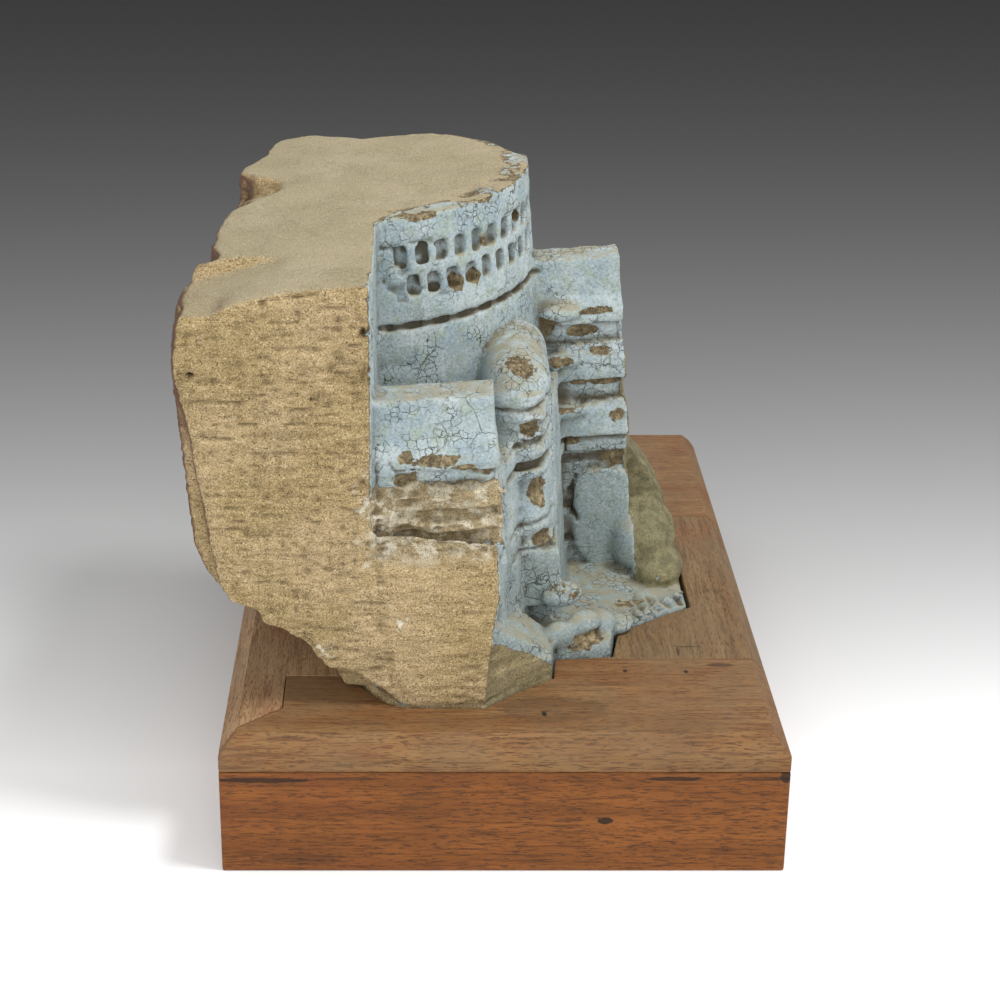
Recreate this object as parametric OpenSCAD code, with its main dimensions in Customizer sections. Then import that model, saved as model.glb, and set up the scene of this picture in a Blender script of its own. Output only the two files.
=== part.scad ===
// A fragment of a carved stone corbel, let into a wooden base.
// Millimetres. X to the right, Y away from the raw near face, Z up. The origin is
// at the middle of the base's underside. The carving has its own frame, which leans
// with the stone: x out from the wall line, y along the wall, z down from the top.

/* [Base] */
// Width of the base, left to right
base_w = 330; // [290:1:400]
// Depth of the base, front to back
base_d = 500; // [460:1:600]
// Height of the box sides under the top boards
apron_h = 66; // [50:1:80]
// Thickness of the box sides
apron_t = 22; // [14:1:30]
// Thickness of the top boards
board_t = 21; // [16:1:28]
// Width of the bevel round the top boards
bevel_w = 10; // [5:1:18]
// Drop of that bevel
bevel_drop = 10.5; // [4:0.5:14]
// Depth of the front top board, front to back
front_board_d = 104; // [90:1:110]
// Width of the left top board
left_board_w = 100; // [80:1:110]
// Width of the right top board
right_board_w = 130; // [110:1:140]
// Width of the left top board in front of its notch
notch_w = 35; // [28:1:45]
// Thickness of the floor board that carries the stone
floor_t = 18; // [10:1:24]
// Gap between the stone and the edge of its cut-out
seat_gap = 2.5; // [1.5:0.5:5]

/* [Block] */
// Height of the stone above the base, at its near top corner
block_h = 259; // [215:1:315]
// Length of the block along the wall
block_l = 306; // [280:1:370]
// Depth of the raw tail behind the wall line
tail_d = 111; // [95:1:125]
// Distance from the base's front edge to the raw near face
near_gap = 40; // [34:1:50]
// Lean of the carving to the left, in degrees
lean = 4; // [0:0.5:6]
// Rise of the carving towards the back, in degrees
rise = 3; // [0:0.5:4]

/* [Drum] */
// Radius of the half-round drum
drum_r = 103.5; // [90:0.5:115]
// Distance along the wall from the near face to the drum's axis
drum_y = 213; // [203:1:233]
// Height of the plain rim above the lattice
rim_h = 18; // [10:1:24]
// Height of one lattice opening
hole_h = 13; // [9:1:15]
// Width of one lattice opening
hole_w = 7.5; // [5:0.5:9]
// Depth of one lattice opening
hole_d = 6; // [3:0.5:10]
// Height of the bar between the two rows of openings
bar_h = 6; // [4:1:8]
// Angle from one lattice opening to the next
hole_step = 7.3; // [6:0.1:10]
// Depth below the top of the sunk line round the drum
groove_z = 68; // [60:1:78]
// Height of that sunk line
groove_h = 3; // [2:0.5:5]

/* [Brackets] */
// Depth below the top of the near bracket's top
near_bracket_z = 74; // [66:1:90]
// Reach of the near bracket from the wall line
near_reach = 65; // [55:1:73]
// Distance along the wall to the near bracket
near_bracket_y = 11; // [6:1:20]
// Depth below the top of the middle bracket's top
mid_bracket_z = 62; // [55:1:75]
// Reach of the middle bracket from the wall line
mid_reach = 152; // [138:1:163]
// Thickness of both brackets along the wall
bracket_t = 25; // [18:1:34]

/* [Pendant] */
// Distance from the wall line to the pendant's axis
pendant_x = 80; // [72:1:88]
// Distance along the wall to the pendant's axis
pendant_y = 104; // [96:1:115]
// Depth below the top of the pendant's crown
pendant_z = 87; // [78:1:100]
// Half the width of the pier behind the pendant
pier_r = 21; // [16:1:26]
// Radius of the pendant's largest ring
knob_r = 19; // [14:1:22]

/* [Foot plate] */
// Height of the plate above the base at its front edge
plate_h = 10; // [6:1:18]

/* [Hidden] */
$fn = 48;

base_h = apron_h + board_t;
left_x = -base_w / 2;
right_x = base_w / 2;
front_y = -base_d / 2;
back_y = base_d / 2;
wall_x = left_x + 88;
near_y = front_y + near_gap;
top_z = base_h + block_h;
far_y = near_y + block_l;
deep = base_h + block_h + 20;
joint = 0.3;
back_corner_r = 12;
wide = 2 * (base_w + base_d);

// ---- helpers -------------------------------------------------------------

// Moves its children into the leaning frame of the carving.
module carved() {
    translate([wall_x, near_y, top_z]) rotate([rise, -lean, 0]) children();
}

// Extrudes a shape drawn in X and Z along Y, from y0 to y1.
module along_y(y0, y1) {
    translate([0, y1, 0]) rotate([90, 0, 0]) linear_extrude(y1 - y0) children();
}

// Extrudes a shape drawn in Y and Z along X, from x0 to x1.
module along_x(x0, x1) {
    translate([x0, 0, 0]) rotate([90, 0, 90]) linear_extrude(x1 - x0) children();
}

// Moves each point towards a centre by a distance.
function pulled_in(points, centre, d) =
    [for (p = points) p + (centre - p) * d / norm(centre - p)];

// ---- where the stone stands ----------------------------------------------

// The cut-out in the top boards: straight saw cuts that step round the stone.
seat_x = wall_x;
seat_y = near_y;
cut_out = [
    [seat_x - 17, seat_y + 42],
    [seat_x + 6, seat_y + 8],
    [seat_x + 18, seat_y],
    [seat_x + 67, seat_y],
    [seat_x + 84, seat_y + 18],
    [seat_x + 109, seat_y + 38],
    [seat_x + 111, seat_y + 63],
    [seat_x + 147, seat_y + 67],
    [seat_x + 153, seat_y + 100],
    [seat_x + 187, seat_y + 128],
    [seat_x + 203, seat_y + 138],
    [seat_x + 202, seat_y + 258],
    [seat_x + 158, seat_y + 291],
    [seat_x - 17, seat_y + 291]
];
seat_middle = [seat_x + 70, seat_y + 170];

// The stone's own outline inside the cut-out.
stone_root = pulled_in(cut_out, seat_middle, seat_gap);

// ---- the block -----------------------------------------------------------

// Outline of the raw near face: fractions of the tail's depth and the block's height.
near_left = [
    [0.50, 1.000], [0.66, 0.960], [0.80, 0.930], [0.95, 0.937], [0.967, 0.913],
    [0.995, 0.835], [0.999, 0.794], [0.957, 0.721], [0.919, 0.652], [0.896, 0.571],
    [0.864, 0.488], [0.836, 0.393], [0.798, 0.307], [0.739, 0.258], [0.600, 0.241],
    [0.571, 0.204], [0.462, 0.191], [0.375, 0.159], [0.231, 0.091], [0.105, 0.093],
    [0.030, 0.066]
];

// The same for the body behind it, which stands further out to the left.
body_left = [
    [0.90, 1.000], [0.98, 0.930], [1.010, 0.850], [1.022, 0.760], [0.996, 0.640],
    [0.968, 0.510], [0.941, 0.367], [0.880, 0.300], [0.829, 0.268], [0.750, 0.240],
    [0.660, 0.215], [0.570, 0.175], [0.460, 0.155], [0.370, 0.120], [0.220, 0.060],
    [0.160, 0.004]
];

function block_point(p) = [wall_x - tail_d * p[0], base_h + block_h * p[1]];
function block_outline(side, right, crown) = concat(
    [for (p = side) block_point(p)],
    [[right, block_point(side[len(side) - 1])[1]], [right, top_z + crown]],
    [[block_point(side[0])[0], top_z + crown]]
);

// Plans of the block as shares of the tail's depth and the block's length: the lower
// one is plain, the upper one has the lobes that the breaks left along the top.
lower_plan = [
    [-0.02, -0.003], [1.10, -0.003], [1.10, 0.44], [1.02, 0.76], [0.72, 0.96],
    [0.45, 1.00], [0.10, 0.94]
];
upper_plan = [
    [-0.02, -0.003], [1.10, -0.003], [1.05, 0.203], [0.80, 0.216], [0.86, 0.294],
    [0.84, 0.400], [0.80, 0.490], [0.72, 0.540], [0.70, 0.640], [0.82, 0.725],
    [0.78, 0.784], [0.66, 0.876], [0.64, 0.951], [0.57, 0.984], [0.39, 1.000],
    [0.08, 0.940]
];
upper_h = 66;

function plan_point(p) = [wall_x - tail_d * p[0], near_y + block_l * p[1]];
function block_plan(shares) = concat(
    [for (p = shares) plan_point(p)],
    [[wall_x + 32, near_y + block_l * 0.93], [wall_x + 32, near_y + drum_y]],
    [[wall_x + 2, near_y + drum_y]]
);

// The broken slopes that lower the left side of the top.
module shoulder_cuts() {
    // the near lobe, down to the left
    translate([wall_x - tail_d * 0.45, near_y - 1, top_z - 4])
        rotate([0, -14, 0]) translate([-100, 0, 0])
            cube([100, block_l * 0.208, 60]);
    // the worn front margin
    translate([wall_x - 20, near_y, top_z - 1.5])
        rotate([14, -8, 0]) translate([-130, -20, 0]) cube([130, 60, 60]);
    // the bite in front of the far lobe
    translate([wall_x - tail_d * 0.45, near_y + block_l * 0.64, top_z + 3])
        rotate([0, 0, 141]) rotate([0, 19, 0]) cube([90, 60, 60]);
}

module block() {
    difference() {
        intersection() {
            union() {
                along_y(near_y, near_y + 24)
                    polygon(block_outline(near_left, wall_x + 1, 12));
                along_y(near_y + 22, far_y + 10)
                    polygon(block_outline(body_left, wall_x + 31, 40));
            }
            union() {
                linear_extrude(top_z - upper_h) polygon(block_plan(lower_plan));
                translate([0, 0, top_z - upper_h - 1])
                    linear_extrude(deep) polygon(block_plan(upper_plan));
            }
        }
        shoulder_cuts();
    }
}

// The lower part of the near face runs on to the right, under the near bracket.
module lower_block() {
    low_z = base_h + block_h * 0.385;
    difference() {
        along_y(near_y, near_y + 60) polygon([
            [wall_x - tail_d * 0.2, base_h + 30],
            [wall_x + 18, base_h + 1],
            [wall_x + 67, base_h + 1],
            [wall_x + 72, base_h + 52],
            [wall_x + 75, base_h + 72],
            [wall_x + 73, low_z + 4],
            [wall_x - tail_d * 0.2, low_z + 18]
        ]);
        // the ledge where the bracket's lower mouldings broke away
        translate([wall_x - 4, near_y, low_z + 13])
            rotate([-38, 3, 0]) translate([0, -30, 0]) cube([100, 60, 40]);
    }
}

// ---- the drum ------------------------------------------------------------

// Far break of the drum, in the leaning frame.
drum_break = [
    [-60, drum_y - 130],
    [drum_r + 20, drum_y - 130],
    [drum_r + 20, drum_y],
    [drum_r * 0.875, drum_y + 16],
    [drum_r * 0.73, drum_y + 46],
    [drum_r * 0.50, drum_y + 67],
    [drum_r * 0.36, drum_y + 76],
    [-60, drum_y + 74]
];
drum_x = -6;

module lattice_openings() {
    for (row = [0, 1], i = [0:13]) {
        turn = -78 + (i + row / 2) * hole_step;
        translate([drum_x, drum_y, -rim_h - hole_h - row * (hole_h + bar_h)])
            rotate([0, 0, turn])
                translate([drum_r - hole_d, -hole_w / 2, 0])
                    cube([hole_d * 2, hole_w, hole_h]);
    }
}

module drum() {
    difference() {
        intersection() {
            translate([drum_x, drum_y, -deep]) cylinder(h = deep, r = drum_r, $fn = 96);
            translate([0, 0, -deep]) linear_extrude(deep) polygon(drum_break);
        }
        lattice_openings();
        // the sunk line
        translate([drum_x, drum_y, -groove_z - groove_h / 2])
            rotate_extrude($fn = 96)
                translate([drum_r - 4, 0]) square([8, groove_h]);
    }
}

// ---- the brackets --------------------------------------------------------

// The moulding down a bracket: height, stand-out at its top, stand-out at its foot.
moulding = [
    [24, 0, 0], [9, 0, 4], [12, 4, 4], [14, 1.5, 1.5], [7, 1.5, 6], [16, 6, 6],
    [14, 3.5, 3.5], [8, 3.5, 8], [17, 8, 8], [15, 5, 5], [4, 2.5, 2.5], [78, 4.5, 4.5]
];
mould_count = len(moulding);
// The share of those stand-outs that the mouldings keep on the bracket's front.
front_share = 0.25;

function drop(i) = i == 0 ? 0 : drop(i - 1) + moulding[i - 1][0];
function keeps_top(i) = i == 0 || moulding[i][1] != moulding[i - 1][2];

// One side of the profile, from the top down, over the first n mouldings.
function profile(n) = [
    for (i = [0:n - 1]) each concat(
        keeps_top(i) ? [[moulding[i][1], -drop(i)]] : [],
        [[moulding[i][2], -drop(i + 1)]]
    )
];
function flipped(points) = [for (i = [len(points) - 1:-1:0]) points[i]];

// A bracket whose near side is at y = 0 and whose front is at x = reach.
module bracket(root, reach, thick, n) {
    side = profile(n);
    near_side = [for (p = side) [-p[0], p[1]]];
    far_side = [for (p = flipped(side)) [thick + p[0], p[1]]];
    front = [for (p = side) [reach + p[0] * front_share, p[1]]];
    back = [[root, -drop(n)], [root, 0]];
    intersection() {
        along_x(root, reach + 20) polygon(concat(near_side, far_side));
        along_y(-20, thick + 20) polygon(concat(front, back));
    }
}

module near_bracket() {
    translate([0, near_bracket_y, -near_bracket_z])
        bracket(-10, near_reach, bracket_t, 8);
}

// The middle bracket, with a raised half leaf on its near side.
module middle_bracket() {
    leaf_top = drop(mould_count - 1);
    leaf_h = moulding[mould_count - 1][0];
    leaf_w = mid_reach - drum_r - 6;
    side_y = drum_y - 18;
    translate([0, side_y, -mid_bracket_z]) {
        bracket(60, mid_reach, bracket_t, mould_count);
        intersection() {
            translate([mid_reach - leaf_w, -8, -leaf_top - leaf_h])
                cube([leaf_w, 12, leaf_h]);
            translate([mid_reach, 0, -leaf_top - leaf_h * 0.55])
                rotate([90, 0, 0]) cylinder(h = 7.5, r = leaf_w * 0.98);
        }
    }
}

// ---- the pendant ---------------------------------------------------------

// Radii down the turned pendant, as shares of the largest ring, with their depths.
pendant_turning = [
    [0.00, 8], [0.50, 10], [0.85, 17], [0.98, 25], [0.95, 33], [0.86, 37], [0.94, 40],
    [0.94, 45], [0.86, 47], [0.90, 52], [0.84, 60], [0.66, 64], [0.92, 66], [0.92, 71],
    [0.60, 76], [0.60, 82], [0.80, 88], [0.92, 98], [0.90, 108], [0.76, 114], [1.00, 116],
    [1.00, 120], [0.00, 120]
];

module pendant() {
    foot = 158;
    // the rounded pier
    translate([pendant_x, 0, -pendant_z - pier_r]) {
        along_y(pendant_y, pendant_y + 60) circle(r = pier_r);
        translate([0, pendant_y, 0]) sphere(r = pier_r);
        translate([-pier_r, pendant_y, -foot]) cube([pier_r * 2, 60, foot]);
        translate([0, pendant_y, -foot]) cylinder(h = foot, r = pier_r * 0.92);
    }
    // the turned part in front of it
    translate([pendant_x - 1, pendant_y - 12, -pendant_z])
        rotate_extrude() polygon([for (p = pendant_turning) [p[0] * knob_r, -p[1]]]);
    // the square block it stands on
    translate([pendant_x - pier_r * 0.9, pendant_y - 30, -pendant_z - foot])
        cube([pier_r * 1.85, 60, foot - 120]);
}

// ---- the foot of the carving ---------------------------------------------

// The wall between the brackets, filled in behind the pendant.
module lower_wall() {
    wall_top = near_bracket_z + 60;
    translate([0, 0, -deep]) linear_extrude(deep - wall_top) polygon([
        [0, 20], [near_reach - 2, 20], [near_reach, near_bracket_y + bracket_t],
        [pendant_x, pendant_y - 18], [pendant_x + pier_r, pendant_y + 12],
        [drum_r + 6, drum_y - 20], [drum_r + 6, drum_y + 20], [0, drum_y + 20]
    ]);
}

// The foot plate: it steps out to the right, and slopes up to its front edge.
module foot_plate() {
    slab_h = plate_h + 12;
    difference() {
        union() {
            linear_extrude(base_h + slab_h) polygon([
                for (p = stone_root) if (p[1] > near_y + 30 || p[0] > wall_x + 40) p
            ]);
        }
        // the top slopes down from the front edge to the bracket's foot
        translate([wall_x + 60, near_y + 100, base_h + plate_h])
            rotate([-5, 2, 0]) translate([-120, -140, 0]) cube([320, 420, 60]);
    }
}

// The raw lump past the middle bracket, where the rest broke away.
module far_break() {
    x0 = wall_x + 60;
    along_y(near_y + drum_y + 10, near_y + drum_y + 42) polygon([
        [x0, base_h + 1], [x0, base_h + 116], [x0 + 98, base_h + 92],
        [x0 + 122, base_h + 62], [x0 + 134, base_h + 40], [x0 + 138, base_h + 1]
    ]);
}

// The broken corner at the near face's foot, from the face out to the plate.
module corner_break() {
    difference() {
        linear_extrude(base_h + 57) polygon([
            [wall_x + 20, near_y + 12], [wall_x + 62, near_y + 5],
            [wall_x + 107, near_y + 44], [wall_x + 106, near_y + 74],
            [wall_x + 30, near_y + 80]
        ]);
        translate([wall_x + 64, near_y, base_h + 51])
            rotate([0, 40, 0]) translate([0, -10, 0]) cube([100, 120, 60]);
    }
}

// ---- the whole stone -----------------------------------------------------

module carving() {
    carved() {
        drum();
        near_bracket();
        middle_bracket();
        pendant();
        lower_wall();
    }
}

// Everything above the top plane of the leaning carving is cut away.
module above_top() {
    carved() translate([-wide / 2, -wide / 2, 0]) cube([wide, wide, wide]);
}

module corbel_stone() {
    color("tan") union() {
        difference() {
            union() {
                block();
                lower_block();
                carving();
                far_break();
                foot_plate();
                corner_break();
            }
            above_top();
            translate([-wide / 2, -wide / 2, base_h + 0.6 - wide]) cube([wide, wide, wide]);
        }
        translate([0, 0, floor_t]) linear_extrude(base_h + 1 - floor_t) polygon(stone_root);
    }
}

// ---- the base ------------------------------------------------------------

// The bevelled slab that all four top boards are cut from.
module top_slab() {
    z0 = apron_h;
    z1 = base_h - bevel_drop;
    intersection() {
        along_y(front_y, back_y) polygon([
            [left_x, z0], [right_x, z0], [right_x, z1],
            [right_x - bevel_w, base_h], [left_x + bevel_w, base_h], [left_x, z1]
        ]);
        along_x(left_x, right_x) polygon([
            [front_y, z0], [back_y, z0], [back_y, z1],
            [back_y - bevel_w, base_h], [front_y + bevel_w, base_h], [front_y, z1]
        ]);
    }
}

// Rounds the two back corners of the boards and of the box.
module back_corners() {
    for (side = [-1, 1]) {
        translate([side * right_x, back_y, 0]) difference() {
            translate([-back_corner_r, -back_corner_r, -1])
                cube([2 * back_corner_r, 2 * back_corner_r, base_h + 2]);
            translate([-side * back_corner_r, -back_corner_r, -2])
                cylinder(h = base_h + 4, r = back_corner_r);
        }
    }
}

board_front_y = front_y + front_board_d;
board_back_y = near_y + block_l * 0.94;
notch = [left_x + notch_w, board_front_y - 23];
left_edge = left_x + left_board_w;
right_edge = right_x - right_board_w;
mitre_y = front_y + 7;

// Plans of the four top boards; the front left corner has a mitre and a notch.
front_plan = [
    [left_x, front_y], [right_x, front_y], [right_x, board_front_y],
    [left_edge, board_front_y], [left_edge, notch[1]], notch,
    [notch[0], near_y], [left_x, mitre_y]
];
left_plan = [
    [left_x, mitre_y + joint], [notch[0] - joint, near_y + joint],
    [notch[0] - joint, notch[1] + joint], [left_edge - joint, notch[1] + joint],
    [left_edge - joint, board_back_y - joint], [left_x, board_back_y - joint]
];
right_plan = [
    [right_edge, board_front_y + joint], [right_x, board_front_y + joint],
    [right_x, board_back_y - joint], [right_edge, board_back_y - joint]
];
back_plan = [
    [left_x, board_back_y], [right_x, board_back_y], [right_x, back_y], [left_x, back_y]
];

module top_board(plan) {
    color("peru") difference() {
        intersection() {
            top_slab();
            linear_extrude(base_h + 1) polygon(plan);
        }
        linear_extrude(base_h + 2) polygon(cut_out);
        back_corners();
    }
}

module top_board_front() { top_board(front_plan); }
module top_board_left() { top_board(left_plan); }
module top_board_right() { top_board(right_plan); }
module top_board_back() { top_board(back_plan); }

// A side of the box, as a plain board between two corners.
module box_side(corner, size) {
    color("sienna") difference() {
        translate([corner[0], corner[1], 0]) cube([size[0], size[1], apron_h]);
        back_corners();
    }
}

module box_side_front() { box_side([left_x, front_y], [base_w, apron_t]); }
module box_side_back() { box_side([left_x, back_y - apron_t], [base_w, apron_t]); }
module box_side_left() {
    box_side([left_x, front_y + apron_t], [apron_t, base_d - 2 * apron_t]);
}
module box_side_right() {
    box_side([right_x - apron_t, front_y + apron_t], [apron_t, base_d - 2 * apron_t]);
}

// The floor board inside the box, which the stone stands on.
module box_floor() {
    color("burlywood") translate([left_x + apron_t, front_y + apron_t, 0])
        cube([base_w - 2 * apron_t, base_d - 2 * apron_t, floor_t]);
}

corbel_stone();
top_board_front();
top_board_back();
top_board_left();
top_board_right();
box_side_front();
box_side_back();
box_side_left();
box_side_right();
box_floor();
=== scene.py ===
# %% [markdown]
# # A stone corbel fragment on its wooden base
# The object is one half of a sandstone corbel that once carried a small balcony. Its
# left side, top and near end are raw breaks. Its right side is carved: a half-round
# drum with a band of small openings, two moulded brackets, and a turned pendant
# between them. That side still has flaking layers of pale blue limewash. The stone
# is let into a box of old hardwood boards with a bevelled top.
#
# The solid model gives every piece its place and size. Here each piece gets its skin:
# the stone is rebuilt as one fine mesh and worn by rule, and the boards get worn edges.

# %% Load the solid model
import math

import bmesh
import bpy
import numpy as np
from mathutils import Matrix, Vector


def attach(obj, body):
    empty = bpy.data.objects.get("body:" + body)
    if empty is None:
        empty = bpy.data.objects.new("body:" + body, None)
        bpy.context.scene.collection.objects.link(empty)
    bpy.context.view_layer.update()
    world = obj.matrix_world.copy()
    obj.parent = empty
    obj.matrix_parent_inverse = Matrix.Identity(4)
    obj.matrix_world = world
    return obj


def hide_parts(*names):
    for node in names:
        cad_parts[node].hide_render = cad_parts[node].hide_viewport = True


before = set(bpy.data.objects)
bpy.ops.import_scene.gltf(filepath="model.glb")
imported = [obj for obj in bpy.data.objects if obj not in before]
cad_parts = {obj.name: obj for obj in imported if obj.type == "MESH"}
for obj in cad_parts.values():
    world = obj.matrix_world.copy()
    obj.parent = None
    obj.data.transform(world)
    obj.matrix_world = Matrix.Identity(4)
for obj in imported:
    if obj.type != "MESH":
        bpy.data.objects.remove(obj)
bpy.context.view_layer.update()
MM = 0.001
print("nodes:", ", ".join(sorted(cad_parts)))

# %% [markdown]
# ## The carving's own frame
# The mason set the carving out square to itself, but the fragment now sits with a
# slight lean. Depths of mouldings and places of flaked paint are easiest to give in
# that leaning frame: x out from the wall line, y along the wall, z up, all in mm from
# the near top corner of the carving.

# %% The leaning frame
CORNER = np.array([-77.0, -210.0, 346.0])
BASE_TOP = 87.0
LEAN = np.array(
    Matrix.Rotation(math.radians(-4), 3, "Y") @ Matrix.Rotation(math.radians(3), 3, "X"))


def to_carving(p):
    """Points of the row, in mm, as points of the leaning frame."""
    return (p - CORNER) @ LEAN


def from_carving(q):
    """Points of the leaning frame as points of the row, in mm."""
    return np.asarray(q, float) @ LEAN.T + CORNER


print("drum's near top edge at", from_carving([98, 213, 0]).round(1))

# %% [markdown]
# ## Seeded noise
# Weathered stone is uneven at every size at once. Smooth value noise on a fixed random
# lattice gives that, and a stretch along one axis turns it into bedding or grain.

# %% Noise helpers
LATTICE = np.random.default_rng(7).random((64, 64, 64))


def noise(p, size, seed=0):
    """Smooth noise from -1 to 1 at points p, with lumps of the given size in mm."""
    q = p / np.asarray(size, float) + (seed + 1) * np.array([17.3, 9.1, 5.7]) + 500
    cell = np.floor(q).astype(int)
    t = q - cell
    t = t * t * (3 - 2 * t)
    total = 0.0
    for corner in np.ndindex(2, 2, 2):
        at = (cell + corner) & 63
        weight = np.prod(np.where(corner, t, 1 - t), axis=1)
        total = total + weight * LATTICE[at[:, 0], at[:, 1], at[:, 2]]
    return 2 * total - 1


def layered(p, size, octaves, seed=0):
    """Noise with finer and finer lumps, each half as strong as the last."""
    size = np.asarray(size, float)
    steps = [noise(p, size / 2**k, seed + k) / 2**k for k in range(octaves)]
    return sum(steps) / sum(0.5**k for k in range(octaves))


def ramp(value, low, high):
    """0 below low, 1 above high, and a smooth step between."""
    t = np.clip((value - low) / (high - low), 0, 1)
    return t * t * (3 - 2 * t)


print("noise range:", noise(np.random.default_rng(1).random((500, 3)) * 90, 9).round(2).max())

# %% [markdown]
# ## Small carved forms
# Under the pendant and along the foot plate the carving ends in soft folds and lobes,
# blurred by paint. They are too free for the solid model, so they are added here as
# flattened balls that sink into the stone before its skin is made.

# %% Lumps for folds and lobes
# centre in the carving's frame, radii, turn about the vertical in degrees
LOBES = [
    # scrolls under the pendant
    [(100, 74, -238), (14, 9, 8), 25], [(112, 64, -254), (12, 8, 9), 25],
    [(122, 78, -262), (12, 11, 9), 40], [(96, 56, -256), (10, 7, 9), 10],
    [(134, 92, -270), (12, 12, 6), 40], [(112, 58, -266), (12, 6, 8), 20],
    # curled ends of the middle bracket's mouldings
    [(112, 190, -96), (15, 8, 6), 0], [(110, 190, -128), (13, 8, 6), 0],
    [(113, 189, -162), (15, 9, 7), 0],
    # rolls on the near bracket
    [(36, 9, -112), (32, 5, 4), 0], [(38, 9, -133), (34, 6, 4), 0], [(36, 8, -152), (30, 6, 5), 0],
    # the brow and the collar of the pendant
    [(81, 84, -106), (15, 9, 4), 0], [(81, 82, -119), (16, 9, 5), 0],
    [(81, 84, -142), (15, 9, 5), 0],
    # the broken rock past the middle bracket
    [(160, 202, -262), (24, 36, 26), 0], [(168, 176, -274), (18, 26, 12), 0],
]
FOLDS = 9


def ball(centre, radii, turn, slope=0):
    """A flattened ball in the carving's frame."""
    bm = bmesh.new()
    bmesh.ops.create_icosphere(bm, subdivisions=3, radius=1)
    mesh = bpy.data.meshes.new("lobe")
    bm.to_mesh(mesh)
    bm.free()
    spin = Matrix.Rotation(math.radians(turn), 3, "Z") @ Matrix.Rotation(math.radians(slope), 3, "Y")
    for v in mesh.vertices:
        q = np.array(spin @ Vector([a * b for a, b in zip(v.co, radii)])) + centre
        v.co = from_carving(q) * MM
    lump = bpy.data.objects.new("lobe", mesh)
    bpy.context.scene.collection.objects.link(lump)
    return lump


lumps = [ball(*lobe) for lobe in LOBES]
for i in range(FOLDS):
    along = i / (FOLDS - 1)
    place = (150 + 26 * along, 110 + 18 * along, -276 + 1.5 * along)
    lumps.append(ball(place, (2.6, 10, 5), -30 - 10 * along, 15))
print(len(lumps), "lumps, ending at", tuple(round(x) for x in place))

# %% [markdown]
# ## One fine skin for the stone
# The stone is a single piece, so its skin is a single closed mesh. A voxel remesh of
# the plain solid, with the lumps let in, gives even facets that can be worn. A little
# smoothing first takes the saw-sharp look off every arris.

# %% Remesh the stone
VOXEL = 1.45 * MM


def copy_of(name):
    """A free copy of a CAD node's mesh, welded along its sharp edges."""
    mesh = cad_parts[name].data.copy()
    bm = bmesh.new()
    bm.from_mesh(mesh)
    bmesh.ops.remove_doubles(bm, verts=bm.verts, dist=1e-6)
    bm.to_mesh(mesh)
    bm.free()
    piece = bpy.data.objects.new(name + "_skin", mesh)
    bpy.context.scene.collection.objects.link(piece)
    return piece


def settle(piece):
    """Turns a piece's modifiers into plain mesh."""
    graph = bpy.context.evaluated_depsgraph_get()
    mesh = bpy.data.meshes.new_from_object(piece.evaluated_get(graph))
    piece.modifiers.clear()
    piece.data = mesh
    return mesh


stone = copy_of("corbel_stone")
with bpy.context.temp_override(active_object=stone, selected_editable_objects=[stone, *lumps]):
    bpy.ops.object.join()
skin = stone.modifiers.new("skin", "REMESH")
skin.mode = "VOXEL"
skin.voxel_size = VOXEL
mesh = settle(stone)
print("stone skin:", len(mesh.vertices), "points")

# %% [markdown]
# ## Where the stone is what
# Every point is sorted by where it lies and which way it faces. Raw breaks, the sawn
# top, the painted carving and the hidden foot each wear in their own way.

# %% Read the skin as arrays
count = len(mesh.vertices)
points = np.empty(count * 3)
mesh.vertices.foreach_get("co", points)
points = points.reshape(-1, 3) / MM
edges = np.empty(len(mesh.edges) * 2, int)
mesh.edges.foreach_get("vertices", edges)
edges = edges.reshape(-1, 2)
degree = np.bincount(edges.ravel(), minlength=count)[:, None]


def around(values):
    """The mean of each point's neighbours."""
    out = np.empty_like(values)
    for k in range(values.shape[1]):
        sums = np.bincount(edges[:, 0], values[edges[:, 1], k], count)
        sums += np.bincount(edges[:, 1], values[edges[:, 0], k], count)
        out[:, k] = sums / degree[:, 0]
    return out


def facing(p):
    """Outward directions of the skin, with its points at p."""
    mesh.vertices.foreach_set("co", (p * MM).ravel())
    mesh.update()
    n = np.empty(count * 3)
    mesh.vertices.foreach_get("normal", n)
    return n.reshape(-1, 3)


PULL = 0.6


def soften(p, share, turns):
    """Draws points toward their neighbours, by a share from 0 to 1."""
    for _ in range(turns):
        p = p + PULL * share * (around(p) - p)
    return p


visible = ramp(points[:, 2], BASE_TOP - 3, BASE_TOP + 1)[:, None]
rough_side = ramp(-to_carving(points)[:, :1], 2, 12)
points = soften(points, visible, 1)
points = soften(points, visible * rough_side, 13)
# the near shoulder is worn rounder than the rest
lean_x, lean_y, lean_z = to_carving(points).T
shoulder = ramp(-lean_x, 26, 42) * ramp(lean_z, -95, -70) * ramp(-lean_y, -120, -95)
points = soften(points, visible * shoulder[:, None], 24)
normal = facing(points)
carved = to_carving(points)
x, y, z = carved.T
above = points[:, 2] - BASE_TOP
print("carving spans", carved.min(axis=0).round(), carved.max(axis=0).round())

# %% [markdown]
# ## Sort the surface
# The wall line splits raw stone from carving. The boundaries waver by a few
# millimetres, as paint and breaks do. Each mask runs from 0 to 1.

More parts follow.
